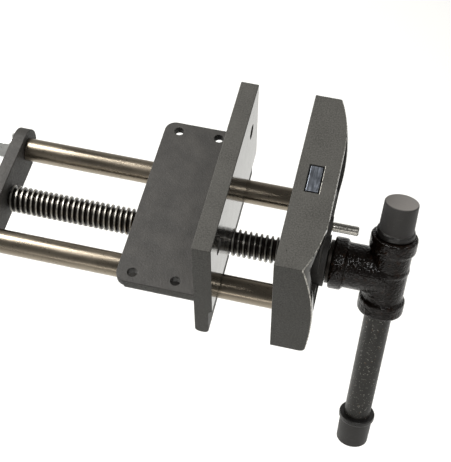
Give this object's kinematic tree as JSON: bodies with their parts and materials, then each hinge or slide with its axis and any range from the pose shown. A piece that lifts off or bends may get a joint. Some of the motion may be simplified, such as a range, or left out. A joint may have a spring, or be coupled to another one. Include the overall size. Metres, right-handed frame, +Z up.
{
  "type": "bench vise",
  "caption": "Woodworker's bench vise with two guide rods, a lead screw, a sliding dog in the front jaw and a pipe-tee sliding bar handle.",
  "frame": {"origin": "middle of the rear jaw's top edge, on the face that lies against the bench's front edge", "axes": "+X out of the bench towards the handle, +Y along the jaws, +Z up"},
  "size_m": [0.4103, 0.1891, 0.3035],
  "materials": {
    "jaw_iron": "grey cast iron, ground and dark satin finished",
    "rod_steel": "warm bright ground steel",
    "screw_steel": "black oxide with bright crests",
    "tee_iron": "glossy black over cast iron",
    "tube_steel": "satin black steel tube",
    "cap_rubber": "matt dark grey rubber",
    "bush_plastic": "matt black nylon",
    "bright_steel": "bright steel",
    "dog_steel": "ground steel, slightly blue",
    "black_steel": "black oxide",
    "zinc_steel": "zinc plated steel",
    "bronze": "cast bronze, machined"
  },
  "bodies": {
    "rear_frame": {"rear_jaw": "jaw_iron", "screw_nut": "bronze", "nut_washers": "zinc_steel", "nut_bolts": "black_steel"},
    "front_jaw_carriage": {"front_jaw": "jaw_iron", "guide_rod_near": "rod_steel", "guide_rod_far": "rod_steel", "rod_lock_pins": "bright_steel", "rear_tie_bar": "jaw_iron", "tie_washers": "zinc_steel", "tie_nuts": "zinc_steel"},
    "screw": {"lead_screw": "screw_steel", "thrust_washer": "black_steel", "thrust_collar": "black_steel", "collar_pin": "bright_steel", "screw_tail_ring": "black_steel", "tee_hub": "tee_iron", "hub_set_screw": "black_steel", "upper_handle_bush": "bush_plastic", "lower_handle_bush": "bush_plastic"},
    "handle": {"handle_bar": "tube_steel", "upper_handle_cap": "cap_rubber", "lower_handle_cap": "cap_rubber"},
    "bench_dog": {"dog": "dog_steel"},
    "lock_pin": {"dog_pressure_pin": "bronze"},
    "lock_screw": {"dog_lock_screw": "bright_steel"}
  },
  "joints": [
    {"name": "jaw_slide", "type": "slide", "parent": "rear_frame", "child": "front_jaw_carriage", "axis": [1, 0, 0], "range_m": [-0.0499, 0.1266]},
    {"name": "screw_turn", "type": "hinge", "parent": "front_jaw_carriage", "child": "screw", "pos_m": [0.07, 0, -0.1195], "axis": [1, 0, 0], "range_deg": [-3536, 8970]},
    {"name": "handle_slide", "type": "slide", "parent": "screw", "child": "handle", "axis": [0, 0.4384, 0.8988], "range_m": [0, 0.1239]},
    {"name": "dog_slide", "type": "slide", "parent": "front_jaw_carriage", "child": "bench_dog", "axis": [0, 0, 1], "range_m": [0, 0.02]},
    {"name": "dog_pin_slide", "type": "slide", "parent": "front_jaw_carriage", "child": "lock_pin", "axis": [1, 0, 0], "range_m": [0, 0.0025]},
    {"name": "dog_screw_turn", "type": "hinge", "parent": "lock_pin", "child": "lock_screw", "pos_m": [0.11, 0, -0.0635], "axis": [1, 0, 0], "range_deg": [0, 750]}
  ],
  "couplings": [
    {"joint": "jaw_slide", "follows": "screw_turn", "m_per_rad": 0.00080851},
    {"joint": "dog_screw_turn", "follows": "dog_pin_slide", "rad_per_m": 5026.5}
  ]
}
